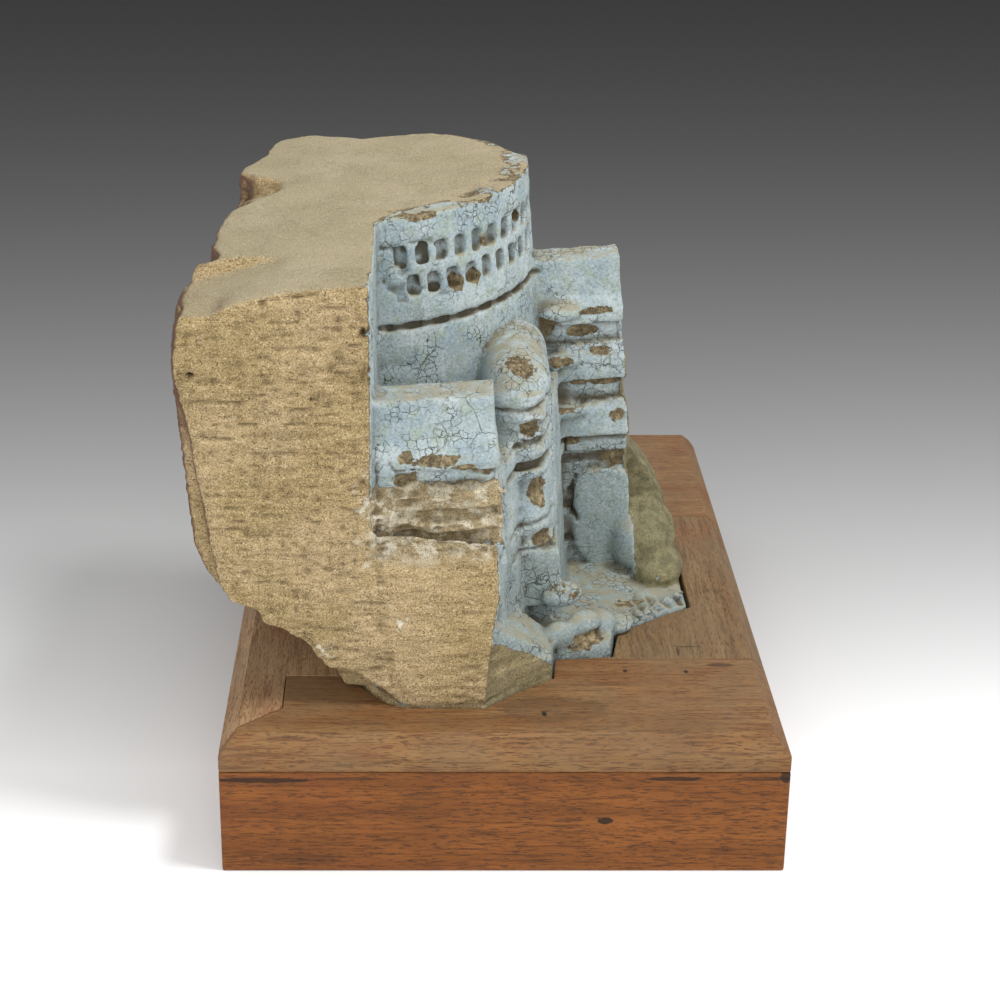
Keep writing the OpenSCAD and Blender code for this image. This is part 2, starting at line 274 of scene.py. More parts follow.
# %% Masks
wavy = 3 * noise(points, 14, 3) + 1.5 * noise(points, 4, 4)
DRUM_AXIS = (-6, 213)
from_axis = np.hypot(x - DRUM_AXIS[0], y - DRUM_AXIS[1])
rim = ramp(from_axis, 82, 94) * ramp(z, -14, -6) * ramp(x, 0, 8)
rim_paint = rim * ramp(noise(points, 12, 5) + 0.5 * noise(points, 4, 6), -0.35, -0.1)
top = ramp(normal[:, 2], 0.75, 0.9) * ramp(z, -22, -8) * (1 - rim_paint)
near_end = ramp(-normal[:, 1], 0.6, 0.8) * ramp(CORNER[1] + 9 - points[:, 1] + 0.5 * wavy, -2, 2)
tail = ramp(-x - 3 + wavy * 0.3, 0, 3)
tail *= 1 - ramp(normal[:, 0], 0.3, 0.6) * ramp(x, -40, -30)
far_break = ramp(y - 148 + wavy, 0, 4) * ramp(x - 152 + 0.4 * wavy, -1, 2)
far_break = np.maximum(far_break, ramp(y - 228 + wavy, -2, 3) * ramp(x, -8, -2))
far_break *= 1 - ramp(normal[:, 2], 0.75, 0.9) * ramp(z, -22, -8)
# the foot plate's top stays painted up to the broken rock
plate = ramp(normal[:, 2], 0.7, 0.9) * ramp(-z, 266, 270) * (1 - ramp(y + wavy, 172, 180))
far_break *= 1 - plate
# one raw facet cuts the near foot corner
flap = 38 - 0.8 * (points[:, 0] + 8)
corner = ramp(flap - above + 0.4 * wavy, -2, 1) * ramp(points[:, 0], -30, -24)
corner *= ramp(-155 - points[:, 1], 0, 6)
ledge = ramp(-z + wavy, 124, 129) * ramp(z + wavy, -172, -160) * ramp(-y + wavy, -34, -26)
ledge *= ramp(x, -16, -6)
painted = (1 - top) * (1 - near_end) * (1 - tail) * (1 - far_break) * (1 - corner) * (1 - ledge)
print("painted share of the skin:", round(float(painted.mean()), 2))

# %% [markdown]
# ## Wear on the raw stone
# Sandstone breaks along its bedding, so the raw end is striped by fine level ridges.
# Chips are larger and rounder. A few pits are left from old fixings and soft pebbles.

# %% Relief of the raw faces
sink = np.zeros(count)
bedding = np.abs(layered(points, (26, 26, 4.0), 3, 10))
fine_bedding = np.abs(noise(points, (7, 7, 2.2), 20))
chips = ramp(layered(points, 22, 3, 30), 0.12, 0.6)
grains = np.abs(noise(points, 3.4, 40))
end_weight = near_end + corner + tail * (1 - top)
sink += end_weight * (1.3 * bedding + 1.0 * fine_bedding + 2.0 * chips + 0.7 * grains)
sink += top * (0.8 * np.abs(noise(points, 34, 50)) + 0.35 * grains)
sink += far_break * (3.0 * np.abs(layered(points, 20, 3, 60)) + 0.8 * grains)
ledge_breaks = 2.4 * ramp(layered(points, (16, 14, 6), 3, 70), -0.1, 0.6)
sink += ledge * (ledge_breaks + 1.4 * np.abs(noise(points, (8, 8, 4), 75)) + 1.4 * grains)

PITS = [
    # centre in the carving's frame, radius, depth
    [(-103, 0, -46), 2.6, 7], [(-37, 0, -64), 1.9, 5], [(-4, 0, -28), 3.2, 5],
    [(-84, 0, -84), 1.6, 3], [(-66, 0, -100), 1.4, 2.5], [(-45, 0, -120), 1.6, 2.5],
    [(-20, 0, -150), 1.8, 2], [(10, 0, -190), 2.0, 2], [(28, 4, -152), 2.2, 5],
]
# the pits are also kept as a mask for painted shade inside them
painted_pit_shade = np.zeros(count)
for centre, radius, depth in PITS:
    away = np.linalg.norm((carved - centre) * (1, 0.4, 1.2), axis=1)
    front = ramp(-normal[:, 1], 0.2, 0.5)
    sink += depth * (1 - ramp(away, radius * 0.5, radius * 1.3)) * front
    painted_pit_shade = np.maximum(painted_pit_shade, (1 - ramp(away, radius * 0.4, radius * 1.1)) * front)
print("deepest raw wear:", sink.max().round(1), "mm")

# %% [markdown]
# ## Wear on the carving
# Thick old paint rounds the carving and swells between cracks. Where it has come away
# the stone shows in flat-bottomed patches about a millimetre deep. The corners of
# ledges are the first to go.

# %% Relief of the painted faces
PATCHES = [
    # centre in the carving's frame, reach in mm along x, y and z
    [(86, 77, -124), (8, 8, 6)], [(88, 85, -169), (7, 9, 10)], [(90, 82, -200), (7, 9, 6)],
    [(98, 74, -236), (12, 9, 5)], [(111, 60, -261), (12, 12, 6)], [(146, 187, -170), (6, 6, 6)],
    [(142, 121, -273), (7, 7, 4)], [(151, 130, -275), (5, 5, 4)], [(48, 128, -48), (5, 5, 6)],
    [(58, 136, -48), (4, 4, 6)], [(68, 141, -27), (5, 5, 5)], [(86, 171, -23), (4, 6, 5)],
    [(33, 117, -1), (16, 5, 4)], [(62, 143, 0), (14, 8, 4)], [(84, 176, 0), (7, 18, 4)],
    [(11, 7, -108), (6, 6, 4)], [(30, 7, -111), (14, 6, 4)], [(46, 7, -117), (8, 6, 4)],
    [(131, 191, -97), (14, 8, 3)], [(124, 194, -112), (10, 8, 3)], [(138, 190, -124), (9, 8, 3)],
    [(140, 190, -146), (12, 8, 3)], [(122, 194, -146), (6, 8, 3)], [(82, 93, -92), (9, 9, 6)],
    [(104, 191, -103), (6, 8, 12)], [(116, 192, -187), (8, 6, 3)],
    [(140, 189, -200), (13, 8, 5)], [(110, 186, -128), (8, 8, 4)], [(112, 184, -160), (9, 8, 4)],
    [(34, 6, -131), (34, 8, 4)], [(12, 6, -124), (10, 8, 4)], [(56, 6, -122), (10, 8, 3)],
]
lost = np.full(count, 4.0)
for centre, reach in PATCHES:
    away = np.linalg.norm((carved - centre) / reach, axis=1)
    lost = np.minimum(lost, away + 0.35 * noise(points, 9, 80) + 0.2 * noise(points, 4, 81))
bare = painted * (1 - ramp(lost, 0.75, 1.1))
paint_swell = 0.6 * np.abs(layered(points, 12, 3, 90))
sink += painted * (0.9 * bare + paint_swell + 0.6 * ramp(noise(points, 9, 95), 0.3, 0.8))


def band(value, low, high, soft=1.0):
    """1 between low and high."""
    return ramp(value, low - soft, low + soft) * (1 - ramp(value, high - soft, high + soft))


# the sunk line round the drum
drum_side = painted * ramp(110 - from_axis, 0, 4) * ramp(x, 2, 5) * ramp(from_axis, 90, 96)
sunk_line = drum_side * band(z + 0.4 * noise(points, 18, 98), -70.2, -67.2, 1.0)
sink += 1.8 * sunk_line

# the lattice is blurred by layers of paint, most of all near the wall
blur = band(z, -54, -16, 2) * ramp(-x, -52, -30)
sink += drum_side * blur * 2.2 * ramp(layered(points, (8, 8, 6), 2, 100), 0.0, 0.5)

# the hollows between the bracket's mouldings, deeper than they were first cut
middle_side = ramp(x, 98, 104) * ramp(-y, -207, -202) * ramp(y, 176, 180)
near_side = ramp(x, 2, 8) * ramp(-y, -30, -24)
pendant_side = ramp(x, 58, 62) * ramp(-x, -106, -102) * ramp(-y, -104, -98) * ramp(y, 50, 56)
waver = z + 1.2 * noise(points, 16, 102)
HOLLOWS = [
    # side, low and high z in the carving's frame, depth
    (middle_side, -119, -106, 3.2), (middle_side, -158, -145, 3.6), (middle_side, -187, -184, 2.4),
    (middle_side, -200, -196, 3.0), (near_side, -127, -118, 2.6), (near_side, -147, -141, 3.0),
    (near_side, -160, -156, 1.0), (pendant_side, -114, -111, 2.6), (pendant_side, -129, -125, 1.6),
    (pendant_side, -137, -134, 2.2), (pendant_side, -152, -148, 2.6),
    (pendant_side, -190, -187, 1.6), (pendant_side, -206, -203, 2.2),
]
for side, low, high, depth in HOLLOWS:
    sink += side * (1 - near_end) * depth * band(waver, low, high)

# the half leaf stands proud of the field round it, under a round top
leaf_field = middle_side * band(z, -260, -200, 1.5)
leaf_edge = np.hypot((x - 136) / 22, np.maximum(z + 224, 0) / 18)
sink += 3.0 * leaf_field * ramp(leaf_edge, 0.9, 1.06)

# braided folds along the plate's edge
braid = ramp(x, 142, 147) * ramp(-y, -144, -138) * ramp(above, 0.5, 2)
stripe = np.sin((0.9 * x + 0.3 * y + 0.9 * z + 1.5 * noise(points, 11, 103)) * 2 * np.pi / 7.5)
sink += braid * (1.1 + 1.1 * stripe)

# the crown of the pendant, dished by wear
crown = 1 - ramp(np.linalg.norm((carved - (82, 88, -100)) / (11, 12, 8), axis=1), 0.3, 1)
sink += 1.2 * crown * np.abs(noise(points, 6, 105))
print("bare patches:", len(PATCHES))

# %% [markdown]
# ## The leaf and the deep cracks
# A half leaf is carved on the middle bracket. Its rim stands proud, and a crack runs
# down beside it. Longer cracks cross the brackets and the pendant.

# %% Cut the cracks
CRACKS = [
    # points along the crack in the carving's frame, width, depth
    [[(118, 189, -213), (114, 188, -222), (112, 188, -232), (117, 188, -243)], 1.3, 4],
    [[(112, 190, -184), (140, 190, -184)], 1.0, 2.5],
    [[(112, 190, -195), (142, 190, -196)], 1.0, 2.5],
    [[(112, 190, -184), (112, 190, -196)], 1.0, 2.0],
    [[(2, 10, -108), (6, 8, -116), (18, 6, -116), (26, 6, -118)], 0.9, 2],
    [[(28, 114, -80), (36, 108, -92), (46, 102, -94)], 0.9, 1.6],
    [[(64, 86, -112), (72, 80, -118), (84, 76, -116)], 0.9, 2],
    [[(74, 70, -130), (84, 74, -134), (92, 80, -133)], 0.9, 2],
    [[(74, 40, -240), (84, 50, -252), (88, 52, -262)], 0.8, 2],
]


def gap_to(path):
    """Distance in mm from every point of the carving to a bent line."""
    best = np.full(count, 1e9)
    for a, b in zip(path, path[1:]):
        a, b = np.array(a, float), np.array(b, float)
        share = np.clip((carved - a) @ (b - a) / ((b - a) @ (b - a)), 0, 1)[:, None]
        off = (carved - a - share * (b - a)) * (1, 0.5, 1)
        best = np.minimum(best, np.linalg.norm(off, axis=1))
    return best


split = np.full(count, 9.0)
for path, width, depth in CRACKS:
    away = gap_to(path) + 0.8 * noise(points, 5, 110)
    sink += depth * painted * (1 - ramp(away, width * 0.4, width + 0.8))
    split = np.minimum(split, away / width)
print("cracks:", len(CRACKS))

# %% [markdown]
# ## Move the skin and measure its hollows
# All the wear only ever goes into the stone, so it stays inside the solid's outline.
# The difference between a point and the surface round it then tells hollows, which are
# darkened for dirt and as painted shade, from edges, where paint rubs off.

# %% Apply the relief
points = points - (sink * visible[:, 0])[:, None] * normal
normal = facing(points)
wide = points.copy()
for _ in range(7):
    wide = wide + 0.8 * (around(wide) - wide)
hollow = ((wide - points) * normal).sum(axis=1)
# hollows and the sunk line round the drum are darkened: partly dirt, partly painted shade
dirt_and_painted_shade = np.maximum(ramp(hollow, 0.1, 1.3), sunk_line)
old_damp = np.linalg.norm((carved - (104, 191, -106)) / (9, 9, 24), axis=1)
dirt_and_painted_shade = np.maximum(dirt_and_painted_shade, 0.7 * painted * (1 - ramp(old_damp + 0.4 * noise(points, 6, 120), 0.5, 1.1)))
worn = ramp(-hollow, 0.35, 1.3)
dust = painted * ramp(normal[:, 2], 0.3, 0.75)
print("hollows:", round(float(dirt_and_painted_shade.mean()), 3), "worn edges:", round(float(worn.mean()), 3))

# %% [markdown]
# ## Keep the masks and thin the mesh
# The masks travel with the mesh as named values, so that the finishes can read them.
# The skin is then thinned to a size that is easy to handle. White salts bloom beside
# the ledges and in two small spots on the near face.

# %% Keep the sorted surface on the mesh
TRIANGLES = 190000
# the left flank, facing away from the lamp: a brown stain with painted shade laid in to darken it
brown_flank_and_painted_shade = ramp(-normal[:, 0], 0.25, 0.7) * tail * ramp(-points[:, 0], 150, 158) * (1 - near_end)
SALTS = [[(-9, 4, -150), (13, 14, 42)], [(-42, -7, -220), (7, 14, 6)], [(2, -4, -206), (6, 14, 5)]]
salt = np.zeros(count)
for centre, reach in SALTS:
    away = np.linalg.norm((carved - centre) / reach, axis=1) + 0.5 * noise(points, 7, 130)
    salt = np.maximum(salt, (near_end + ledge) * (1 - ramp(away, 0.5, 1.2)))
facet_tint = 0.7 * corner * ramp(normal[:, 0], 0.2, 0.5)
marks = {
    "painted_pit_shade": painted_pit_shade, "salt": salt,
    "painted": painted, "lost": lost, "dirt_and_painted_shade": dirt_and_painted_shade, "worn": worn, "dust": dust, "rim": rim,
    "top": top, "ledge": ledge, "green": np.maximum(far_break, facet_tint), "brown_flank_and_painted_shade": brown_flank_and_painted_shade,
    "split": split, "low": ramp(-z, 175, 215) * painted,
}
for name, values in marks.items():
    layer = mesh.attributes.new(name, "FLOAT", "POINT")
    layer.data.foreach_set("value", values.astype(np.float32))
thin = stone.modifiers.new("thin", "DECIMATE")
thin.ratio = min(1.0, TRIANGLES / (2 * len(mesh.polygons)))
mesh = settle(stone)
mesh.shade_smooth()
stone.name = "stone_skin"
print("stone triangles:", sum(len(p.vertices) - 2 for p in mesh.polygons))

# %% [markdown]
# ## Finishes
# Every finish is built from noise and simple marks, with scales given in real sizes.
# One helper turns a hex colour into linear light, and one adds a node with its
# settings and links.

# %% Node helpers


def linear(code):
    """The linear colour of an sRGB hex code."""
    parts = [int(code[i:i + 2], 16) / 255 for i in (1, 3, 5)]
    return tuple(c / 12.92 if c <= 0.04045 else ((c + 0.055) / 1.055) ** 2.4 for c in parts) + (1,)


def add(tree, kind, inputs=(), **settings):
    """Adds a node; each input is given a plain value or a socket to link from."""
    node = tree.nodes.new("ShaderNode" + kind)
    for key, value in settings.items():
        setattr(node, key, value)
    for key, value in dict(inputs).items():
        if isinstance(value, bpy.types.NodeSocket):
            tree.links.new(value, node.inputs[key])
        else:
            node.inputs[key].default_value = value
    return node


def new_material(name):
    """An empty material with a surface shader, and its tree and shader."""
    material = bpy.data.materials.new(name)
    material.use_nodes = True
    tree = material.node_tree
    return material, tree, tree.nodes["Principled BSDF"]


def blend(tree, share, first, second, kind="MIX"):
    """Mixes two colours by a share."""
    node = add(tree, "Mix", {0: share, 6: first, 7: second}, data_type="RGBA", blend_type=kind)
    return node.outputs[2]


def number(tree, operation, first, second=0.5, clamp=False):
    """One step of arithmetic on two values."""
    node = add(tree, "Math", {0: first, 1: second}, operation=operation, use_clamp=clamp)
    return node.outputs[0]


def step(tree, value, low, high):
    """0 below low, 1 above high."""
    node = add(tree, "MapRange", {0: value, 1: low, 2: high}, interpolation_type="SMOOTHSTEP")
    return node.outputs[0]


def speckle(tree, coords, size_mm, detail=3.0, rough=0.55, stretch=(1, 1, 1)):
    """Noise whose lumps are size_mm across, drawn out by the stretch."""
    scaled = add(tree, "Mapping", {"Vector": coords, "Scale": tuple(1 / s for s in stretch)})
    node = add(tree, "TexNoise", {
        "Vector": scaled.outputs[0], "Scale": 1000 / size_mm, "Detail": detail, "Roughness": rough})
    return node.outputs[0]


def mark_of(tree, name):
    """A value kept on the mesh."""
    return add(tree, "Attribute", attribute_name=name).outputs["Fac"]


print("white is", [round(c, 3) for c in linear("#ffffff")])

# %% [markdown]
# ## Sandstone with flaking limewash
# The stone is a warm buff, with darker level beds and single dark and pale grains. The
# top has been handled and is greyer. The paint is two or three coats of pale blue gone
# chalky. It has shrunk into small plates with dark gaps, and its edges are chipped back
# to the stone. Every hollow is darkened brown, partly by dust and partly as painted shade.

# %% The stone's finish
sandstone, tree, surface = new_material("sandstone with flaking blue limewash")
coords = add(tree, "TexCoord").outputs["Object"]

# buff stone: broad tone, beds, grains
broad = speckle(tree, coords, 45, 4)
beds = speckle(tree, coords, 2.2, 5, 0.7, (6, 6, 1))
grain = speckle(tree, coords, 0.9, 3, 0.75)
buff = blend(tree, step(tree, broad, 0.35, 0.65), linear("#b29a6c"), linear("#c2a980"))
buff = blend(tree, number(tree, "MULTIPLY", step(tree, beds, 0.52, 0.34), 0.6), buff, linear("#86704a"))
buff = blend(tree, step(tree, grain, 0.54, 0.66), buff, linear("#e2d3ae"))
buff = blend(tree, step(tree, grain, 0.46, 0.36), buff, linear("#65522f"))
pocks = speckle(tree, coords, 3.2, 3, 0.6, (1.8, 1.8, 1))
buff = blend(tree, number(tree, "MULTIPLY", step(tree, pocks, 0.36, 0.28), 0.35), buff, linear("#54442a"))
dusty = blend(tree, step(tree, speckle(tree, coords, 40, 4), 0.35, 0.7),
              linear("#a39779"), linear("#afa286"))
dusty = blend(tree, step(tree, grain, 0.46, 0.34), dusty, linear("#837659"))
dusty = blend(tree, step(tree, grain, 0.56, 0.68), dusty, linear("#c9bea0"))
colour = blend(tree, mark_of(tree, "top"), buff, dusty)
colour = blend(tree, number(tree, "MULTIPLY", mark_of(tree, "ledge"), 0.55), colour, linear("#a89a7c"))
pale = step(tree, speckle(tree, coords, 8, 4), 0.44, 0.58)
pale_share = number(tree, "MULTIPLY", mark_of(tree, "ledge"), pale)
colour = blend(tree, pale_share, colour, linear("#d6ccb2"))
gritty = number(tree, "MULTIPLY", mark_of(tree, "ledge"), step(tree, grain, 0.50, 0.38))
colour = blend(tree, number(tree, "MULTIPLY", gritty, 0.75), colour, linear("#6f5f42"))
flecks = step(tree, speckle(tree, coords, 4, 4, 0.65), 0.50, 0.58)
colour = blend(tree, number(tree, "MULTIPLY", mark_of(tree, "salt"), flecks), colour, linear("#e4ddcb"))
green = blend(tree, step(tree, speckle(tree, coords, 7, 5, 0.65), 0.4, 0.6),
              linear("#787357"), linear("#918a69"))
green = blend(tree, step(tree, grain, 0.46, 0.34), green, linear("#4b4733"))
colour = blend(tree, mark_of(tree, "green"), colour, green)
# the left flank is painted dark brown: partly a brown stain, partly painted shade on its side away from the
# lamp
colour = blend(tree, mark_of(tree, "brown_flank_and_painted_shade"), colour, linear("#6f5443"))
tan = blend(tree, step(tree, speckle(tree, coords, 3, 4, 0.7), 0.42, 0.58),
            linear("#665a45"), linear("#8f8062"))
tan = blend(tree, step(tree, grain, 0.48, 0.36), tan, linear("#443a2a"))

# the paint: soft clouds of blue, dirt and painted shade in hollows, chalk on swells
cloud = step(tree, speckle(tree, coords, 26, 5), 0.35, 0.65)
blue = blend(tree, cloud, linear("#93a3a9"), linear("#b1bbbc"))
blue = blend(tree, step(tree, speckle(tree, coords, 7, 4), 0.47, 0.66), blue, linear("#9aa79f"))
blue = blend(tree, number(tree, "MULTIPLY", mark_of(tree, "low"), 0.6), blue, linear("#84918f"))
pit = speckle(tree, coords, 1.7, 4, 0.7)
blue = blend(tree, number(tree, "MULTIPLY", step(tree, pit, 0.50, 0.36), 0.55), blue, linear("#6d7673"))
blue = blend(tree, number(tree, "MULTIPLY", step(tree, pit, 0.54, 0.66), 0.45), blue, linear("#c6cdca"))
film = step(tree, speckle(tree, coords, 10, 5, 0.6), 0.30, 0.62)
settled = number(tree, "MULTIPLY", number(tree, "MULTIPLY", mark_of(tree, "dust"), film), 0.8)
blue = blend(tree, settled, blue, linear("#958d73"))
# the hollows darken the paint: dirt, with painted shade laid in as well
paint_dirt_and_shade = number(tree, "MULTIPLY", mark_of(tree, "dirt_and_painted_shade"), 0.85)
blue = blend(tree, paint_dirt_and_shade, blue, linear("#4f4c40"))

# crackle: plates some 5 mm across, where the paint is thick
bend = add(tree, "TexNoise", {"Vector": coords, "Scale": 260.0, "Detail": 2.0})
shift = add(tree, "VectorMath", {0: bend.outputs[1], 1: (0.5, 0.5, 0.5)}, operation="SUBTRACT")
shift = add(tree, "VectorMath", {0: shift.outputs[0], "Scale": 0.004}, operation="SCALE")
bent = add(tree, "VectorMath", {0: coords, 1: shift.outputs[0]}, operation="ADD").outputs[0]
plates = add(tree, "TexVoronoi", {"Vector": bent, "Scale": 1000 / 5}, feature="DISTANCE_TO_EDGE")
crack_zone = step(tree, speckle(tree, coords, 24, 4), 0.47, 0.60)
crack = number(tree, "MULTIPLY", step(tree, plates.outputs[0], 0.042, 0.012), crack_zone)
sheets = add(tree, "TexVoronoi", {"Vector": bent, "Scale": 1000 / 17}, feature="DISTANCE_TO_EDGE")
sheet_zone = step(tree, speckle(tree, coords, 38, 3), 0.50, 0.62)
long_crack = number(tree, "MULTIPLY", step(tree, sheets.outputs[0], 0.016, 0.005), sheet_zone)
crack = number(tree, "MAXIMUM", crack, long_crack)
blue = blend(tree, number(tree, "MULTIPLY", crack, 0.85), blue, linear("#45443a"))

# flakes: paint is lost on worn edges and in scattered chips
chip = speckle(tree, coords, 5.5, 5, 0.6)
rubbed = number(tree, "MULTIPLY", mark_of(tree, "worn"), 0.38)
rubbed = number(tree, "ADD", rubbed, number(tree, "MULTIPLY", mark_of(tree, "rim"), 0.30))
hold = number(tree, "SUBTRACT", mark_of(tree, "painted"), rubbed)
ragged = number(tree, "MULTIPLY", number(tree, "SUBTRACT", chip, 0.5), 1.5)
hold = number(tree, "ADD", hold, ragged)
still_there = step(tree, number(tree, "ADD", mark_of(tree, "lost"), ragged), 0.88, 0.96)
hold = number(tree, "MULTIPLY", hold, still_there)
keeps = step(tree, hold, 0.44, 0.50)
under = blend(tree, step(tree, chip, 0.48, 0.66), tan, linear("#b3a27d"))
colour = blend(tree, step(tree, mark_of(tree, "painted"), 0.2, 0.6), colour, under)
colour = blend(tree, keeps, colour, blue)
edge = number(tree, "MULTIPLY", step(tree, hold, 0.40, 0.45), step(tree, hold, 0.53, 0.48))
colour = blend(tree, number(tree, "MULTIPLY", edge, 0.5), colour, linear("#4a4336"))
line = number(tree, "ADD", mark_of(tree, "split"), number(tree, "MULTIPLY", ragged, 0.5))
line = number(tree, "MULTIPLY", step(tree, line, 0.75, 0.45), mark_of(tree, "painted"))
colour = blend(tree, number(tree, "MULTIPLY", line, 0.85), colour, linear("#22201b"))
# the hollows darken stone and paint once more: dirt, with painted shade laid in as well
stone_dirt_and_shade = number(tree, "MULTIPLY", mark_of(tree, "dirt_and_painted_shade"), 0.5)
colour = blend(tree, stone_dirt_and_shade, colour, linear("#54472f"))
# the pits are painted near black: painted shade inside them
colour = blend(tree, number(tree, "MULTIPLY", mark_of(tree, "painted_pit_shade"), 0.9), colour, linear("#2b2217"))
tree.links.new(colour, surface.inputs["Base Color"])
surface.inputs["Roughness"].default_value = 0.9
surface.inputs["IOR"].default_value = 1.5
surface.inputs["Specular IOR Level"].default_value = 0.25

# height: paint stands 0.4 mm proud of the stone, grains and beds are finer
height = number(tree, "MULTIPLY", keeps, number(tree, "ADD", 0.9, number(tree, "MULTIPLY", pit, 0.7)))
height = number(tree, "SUBTRACT", height, number(tree, "MULTIPLY", crack, 0.8))
roughness_of_stone = number(tree, "SUBTRACT", 1.0, number(tree, "MULTIPLY", keeps, 0.85))
not_top = number(tree, "SUBTRACT", 1.0, mark_of(tree, "top"))
level = number(tree, "MULTIPLY", number(tree, "MULTIPLY", beds, 1.8), not_top)
texture = number(tree, "ADD", number(tree, "MULTIPLY", grain, 2.0), level)
height = number(tree, "ADD", height, number(tree, "MULTIPLY", texture, roughness_of_stone))
bump = add(tree, "Bump", {"Strength": 1.0, "Distance": 0.0006, "Height": height})
tree.links.new(bump.outputs[0], surface.inputs["Normal"])
stone.data.materials.clear()
stone.data.materials.append(sandstone)
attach(stone, "root")
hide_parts("corbel_stone")
print("stone finish:", len(tree.nodes), "nodes")

# %% [markdown]
# ## Old hardwood
# The base is made of reclaimed boards, waxed rather than varnished. The grain runs
# along each board. Long dark pores give it its texture, and the tops are duller than
# the sides because dust has worked into the wax. The same recipe serves all boards,
# with the grain turned along X or along Y. The left top board gets lighter colours:
# painted light that offsets the stone's shadow across it.

# %% The wood's finish


def spot(tree, coords, centre, reach):
    """1 inside a small ellipsoid given in mm, 0 outside."""
    off = add(tree, "VectorMath", {0: coords, 1: tuple(c * MM for c in centre)}, operation="SUBTRACT")
    off = add(tree, "VectorMath", {0: off.outputs[0], 1: tuple(1000 / r for r in reach)},
              operation="MULTIPLY")
    size = add(tree, "VectorMath", {0: off.outputs[0]}, operation="LENGTH").outputs["Value"]
    ragged = number(tree, "ADD", size, number(tree, "MULTIPLY", speckle(tree, coords, 3, 3), 0.6))
    return step(tree, ragged, 1.4, 1.15)


def wood(name, along, light, mid, dark, spots=(), dust=None):
    """A waxed board whose grain runs along X (0) or Y (1)."""
    material, tree, surface = new_material(name)
    coords = add(tree, "TexCoord").outputs["Object"]
    draw = (14, 1, 1) if along == 0 else (1, 14, 1)
    figure = speckle(tree, coords, 11, 4, 0.55, draw)
    streak = speckle(tree, coords, 2.0, 5, 0.65, draw)
    pore = speckle(tree, coords, 0.8, 2, 0.6, tuple(max(1, d * 0.5) for d in draw))
    cloudy = speckle(tree, coords, 60, 3)
    tone = blend(tree, step(tree, figure, 0.34, 0.66), linear(mid), linear(light))
    tone = blend(tree, number(tree, "MULTIPLY", step(tree, streak, 0.52, 0.38), 0.85), tone, linear(dark))
    tone = blend(tree, number(tree, "MULTIPLY", step(tree, cloudy, 0.45, 0.7), 0.35), tone, linear(dark))
    tone = blend(tree, number(tree, "MULTIPLY", step(tree, pore, 0.47, 0.36), 0.7), tone, linear("#3a2516"))
    ruddy = step(tree, speckle(tree, coords, 30, 4, 0.6, tuple(max(1, d * 0.3) for d in draw)), 0.5, 0.7)
    tone = blend(tree, number(tree, "MULTIPLY", ruddy, 0.4), tone, linear("#6e3a1c"))
    if dust:
        film = step(tree, speckle(tree, coords, 35, 5), 0.35, 0.65)
        tone = blend(tree, number(tree, "MULTIPLY", film, 0.35), tone, linear(dust))
    for centre, reach, deep in spots:
        tone = blend(tree, number(tree, "MULTIPLY", spot(tree, coords, centre, reach), deep),
                     tone, linear("#1d140d"))
    tree.links.new(tone, surface.inputs["Base Color"])
    surface.inputs["Roughness"].default_value = 0.62
    surface.inputs["IOR"].default_value = 1.5
    surface.inputs["Specular IOR Level"].default_value = 0.25
    ridges = number(tree, "ADD", streak, number(tree, "MULTIPLY", pore, 0.8))
    bump = add(tree, "Bump", {"Strength": 0.9, "Distance": 0.0004, "Height": ridges})
    tree.links.new(bump.outputs[0], surface.inputs["Normal"])
    return material


FRONT_MARKS = [
    [(59, -250, 34), (4.5, 6, 2.2), 0.9], [(-120, -250, 8), (26, 5, 4), 0.35],
    [(-140, -250, 61), (30, 6, 1.6), 0.8], [(-90, -250, 62), (24, 6, 1.2), 0.5],
    [(98, -250, 62), (16, 6, 1.4), 0.8], [(150, -250, 62), (20, 6, 1.4), 0.5],
    [(163, -250, 64), (4, 6, 5), 0.8],
]
TOP_MARKS = [
    [(113, -164, 87), (1.4, 2, 3), 0.9], [(76, -163, 87), (1.4, 2, 3), 0.9],
    [(24, -218, 87), (1.6, 3, 3), 0.9], [(118, -130, 87), (9, 0.9, 3), 0.55],
    [(111, -137, 87), (1.0, 6, 3), 0.6], [(135, -155, 87), (8, 3, 3), 0.5],
    [(30, -212, 87), (34, 16, 6), 0.25],
]
top_along = wood("waxed hardwood, top boards", 0, "#8c6840", "#7e5833", "#634022", TOP_MARKS, "#746147")
# the left top board is painted lighter, as painted light against the stone's shadow on it
top_left_painted_light = wood("waxed hardwood, left top board, painted lighter", 1, "#ae8c66", "#9c7853", "#7b5a3b", dust="#8c7a5e")
top_right = wood("waxed hardwood, right top board", 1, "#866a47", "#785a39", "#5e4328", TOP_MARKS,
                 "#72634a")
side_along = wood("waxed hardwood, front board", 0, "#885223", "#76451b", "#5b3413", FRONT_MARKS)
side_across = wood("waxed hardwood, side boards", 1, "#8c5a2a", "#784a22", "#5b3517")
print("five wood finishes")

# %% [markdown]
# ## The boards
# Hand use has rounded every arris of the boards to about a millimetre, and that also
# opens the fine dark lines between them. A bevel on each board's edges does both.

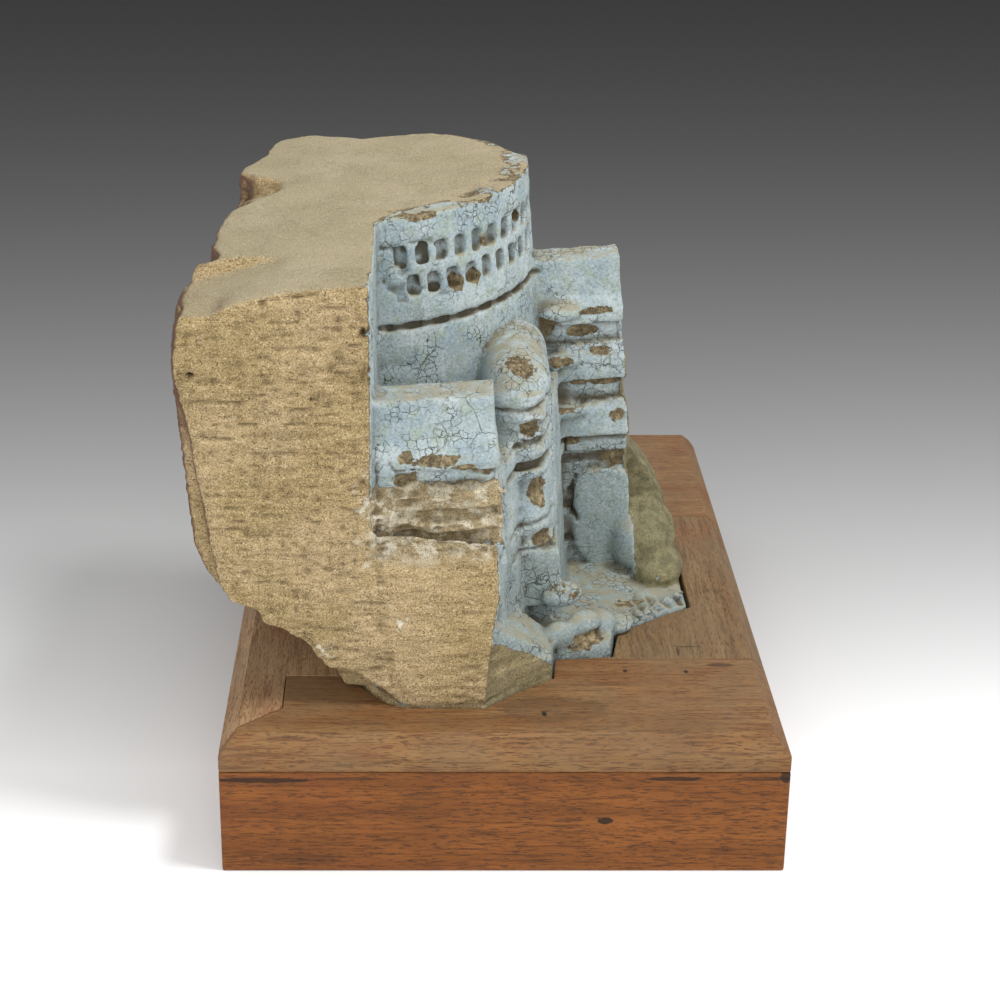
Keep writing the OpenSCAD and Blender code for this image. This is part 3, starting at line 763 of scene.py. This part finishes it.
# %% Dress the boards
BOARDS = {
    "top_board_front": ("top_wood", top_along), "top_board_back": ("top_wood", top_along),
    "top_board_left": ("top_wood", top_left_painted_light), "top_board_right": ("top_wood", top_right),
    "box_side_front": ("side_wood", side_along), "box_side_back": ("side_wood", side_along),
    "box_side_left": ("side_wood", side_across), "box_side_right": ("side_wood", side_across),
}
for name, (slot_name, material) in BOARDS.items():
    board = copy_of(name)
    flat = bmesh.new()
    flat.from_mesh(board.data)
    bmesh.ops.dissolve_limit(flat, angle_limit=0.01, verts=flat.verts, edges=flat.edges)
    flat.to_mesh(board.data)
    flat.free()
    rounding = board.modifiers.new("worn arris", "BEVEL")
    rounding.width = 1.3 * MM
    rounding.segments = 3
    rounding.limit_method = "ANGLE"
    rounding.angle_limit = math.radians(20)
    settle(board)
    board.data.shade_smooth()
    board.modifiers.new("keep flats flat", "WEIGHTED_NORMAL")
    board.data.materials.clear()
    board.data.materials.append(material)
    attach(board, "root")
    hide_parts(name)
floor_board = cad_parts["box_floor"]
floor_board.data.materials.clear()
floor_board.data.materials.append(wood("plain sawn board", 1, "#a98a5e", "#96774e", "#7c5f3c"))
print(len(BOARDS), "boards dressed")

# %% [markdown]
# ## Stage, light and camera
# The object stands on a pale sheet whose colour is painted darker far behind it, as shade
# where the light falls off. A large soft lamp hangs high on the right, a broad one fills
# from the front, and a weak sky keeps the shadows open. The camera looks down a little,
# with a longish lens.

# %% The stage
bpy.ops.mesh.primitive_plane_add(size=16, location=(0, 4, 0))
floor = bpy.context.object
floor.name = "floor"
paper, tree, surface = new_material("pale paper sheet")
place = add(tree, "SeparateXYZ", {0: add(tree, "NewGeometry").outputs["Position"]}).outputs[1]
# the sheet's colour is painted darker with distance behind the object: painted shade where the light falls
# off
behind = number(tree, "MAXIMUM", number(tree, "ADD", place, 0.13), 0.0)
fall = number(tree, "ADD", number(tree, "MULTIPLY", behind, 1.15), 1.0)
painted_falloff_shade = number(tree, "MULTIPLY", number(tree, "POWER", fall, -2.3), 0.96)
tree.links.new(painted_falloff_shade, surface.inputs["Base Color"])
surface.inputs["Roughness"].default_value = 0.9
surface.inputs["Specular IOR Level"].default_value = 0.1
floor.data.materials.append(paper)
print("floor:", floor.name, "with", paper.name)

# %% [markdown]
# ## Lights
# The small high lamp gives the carving its shadows. The broad one and the sky only
# keep them open.

# %% The lights
scene = bpy.context.scene


def lamp(name, place, target, size, power):
    """A square soft lamp aimed at a point."""
    data = bpy.data.lights.new(name, "AREA")
    data.energy = power
    data.size = size
    light = bpy.data.objects.new(name, data)
    light.location = place
    light.rotation_euler = (Vector(target) - Vector(place)).to_track_quat("-Z", "Y").to_euler()
    scene.collection.objects.link(light)
    return light


lamp("high right lamp", (0.66, -0.40, 1.75), (-0.03, 0, 0.15), 0.36, 17)
lamp("front fill", (-0.35, -2.5, 1.15), (-0.02, -0.1, 0.18), 1.8, 26)
world = bpy.data.worlds.new("soft sky")
scene.world = world
world.use_nodes = True
world.node_tree.nodes["Background"].inputs[0].default_value = linear("#ffffff")
world.node_tree.nodes["Background"].inputs[1].default_value = 0.78
scene.view_settings.view_transform = "Standard"
print("two lamps and a sky")

# %% [markdown]
# ## Camera
# It stands a little above the near end and looks down on the top and the carved side.

# %% The camera
LOOK_DOWN = 22.69
camera_data = bpy.data.cameras.new("camera")
camera_data.lens = 77.4
camera_data.sensor_width = 36
camera_data.shift_x = 0.076
camera = bpy.data.objects.new("camera", camera_data)
camera.location = (-0.0465, -1.3317, 0.6886)
camera.rotation_euler = (math.radians(90 - LOOK_DOWN), 0, 0)
scene.collection.objects.link(camera)
scene.camera = camera
print("camera looks down", LOOK_DOWN, "degrees")
